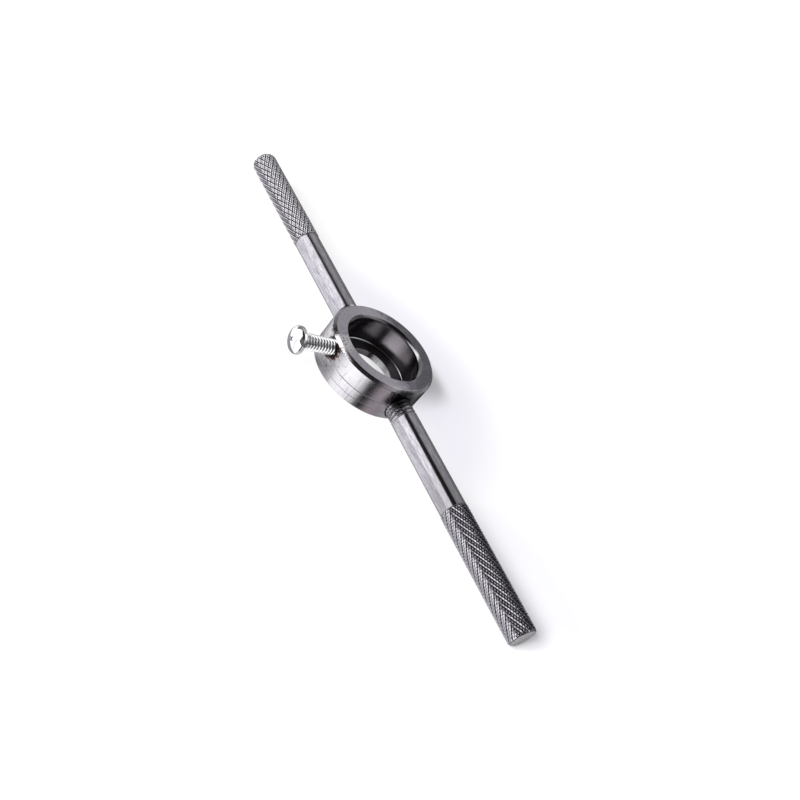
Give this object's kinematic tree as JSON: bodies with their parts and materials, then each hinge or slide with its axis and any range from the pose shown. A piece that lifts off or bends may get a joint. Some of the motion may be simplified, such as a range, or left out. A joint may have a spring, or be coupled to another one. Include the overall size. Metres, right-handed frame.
{
  "type": "round die stock",
  "caption": "Round die stock: a ring collar with a stepped bore that seats a round threading die, straight knurled handles screwed into its sides, and a clamp screw through its wall.",
  "frame": {"origin": "on the axis of the die pocket, at half the collar's height", "axes": "+Z along the bore, out of the mouth that takes the die; +X along the right handle; the clamp screw points out near -Y"},
  "size_m": [0.1854, 0.0488, 0.012],
  "materials": {
    "collar_steel": "dull grey turned steel with fine lathe rings, bright on the outside wall and nearly black in the pocket",
    "handle_steel": "satin drawn rod with a diamond knurl on the grip",
    "screw_zinc": "bright zinc plate"
  },
  "bodies": {
    "collar": {"collar": "collar_steel"},
    "left_handle": {"left_handle": "handle_steel"},
    "right_handle": {"right_handle": "handle_steel"},
    "clamp_screw": {"clamp_screw": "screw_zinc"}
  },
  "joints": [
    {"name": "clamp_screw_travel", "type": "slide", "parent": "collar", "child": "clamp_screw", "axis": [0.1392, 0.9903, 0], "range_m": [-0.0025, 0.0106]},
    {"name": "left_handle_travel", "type": "slide", "parent": "collar", "child": "left_handle", "axis": [-1, 0, 0], "range_m": [0, 0.003]},
    {"name": "right_handle_travel", "type": "slide", "parent": "collar", "child": "right_handle", "axis": [1, 0, 0], "range_m": [-0.002, 0.001]}
  ]
}
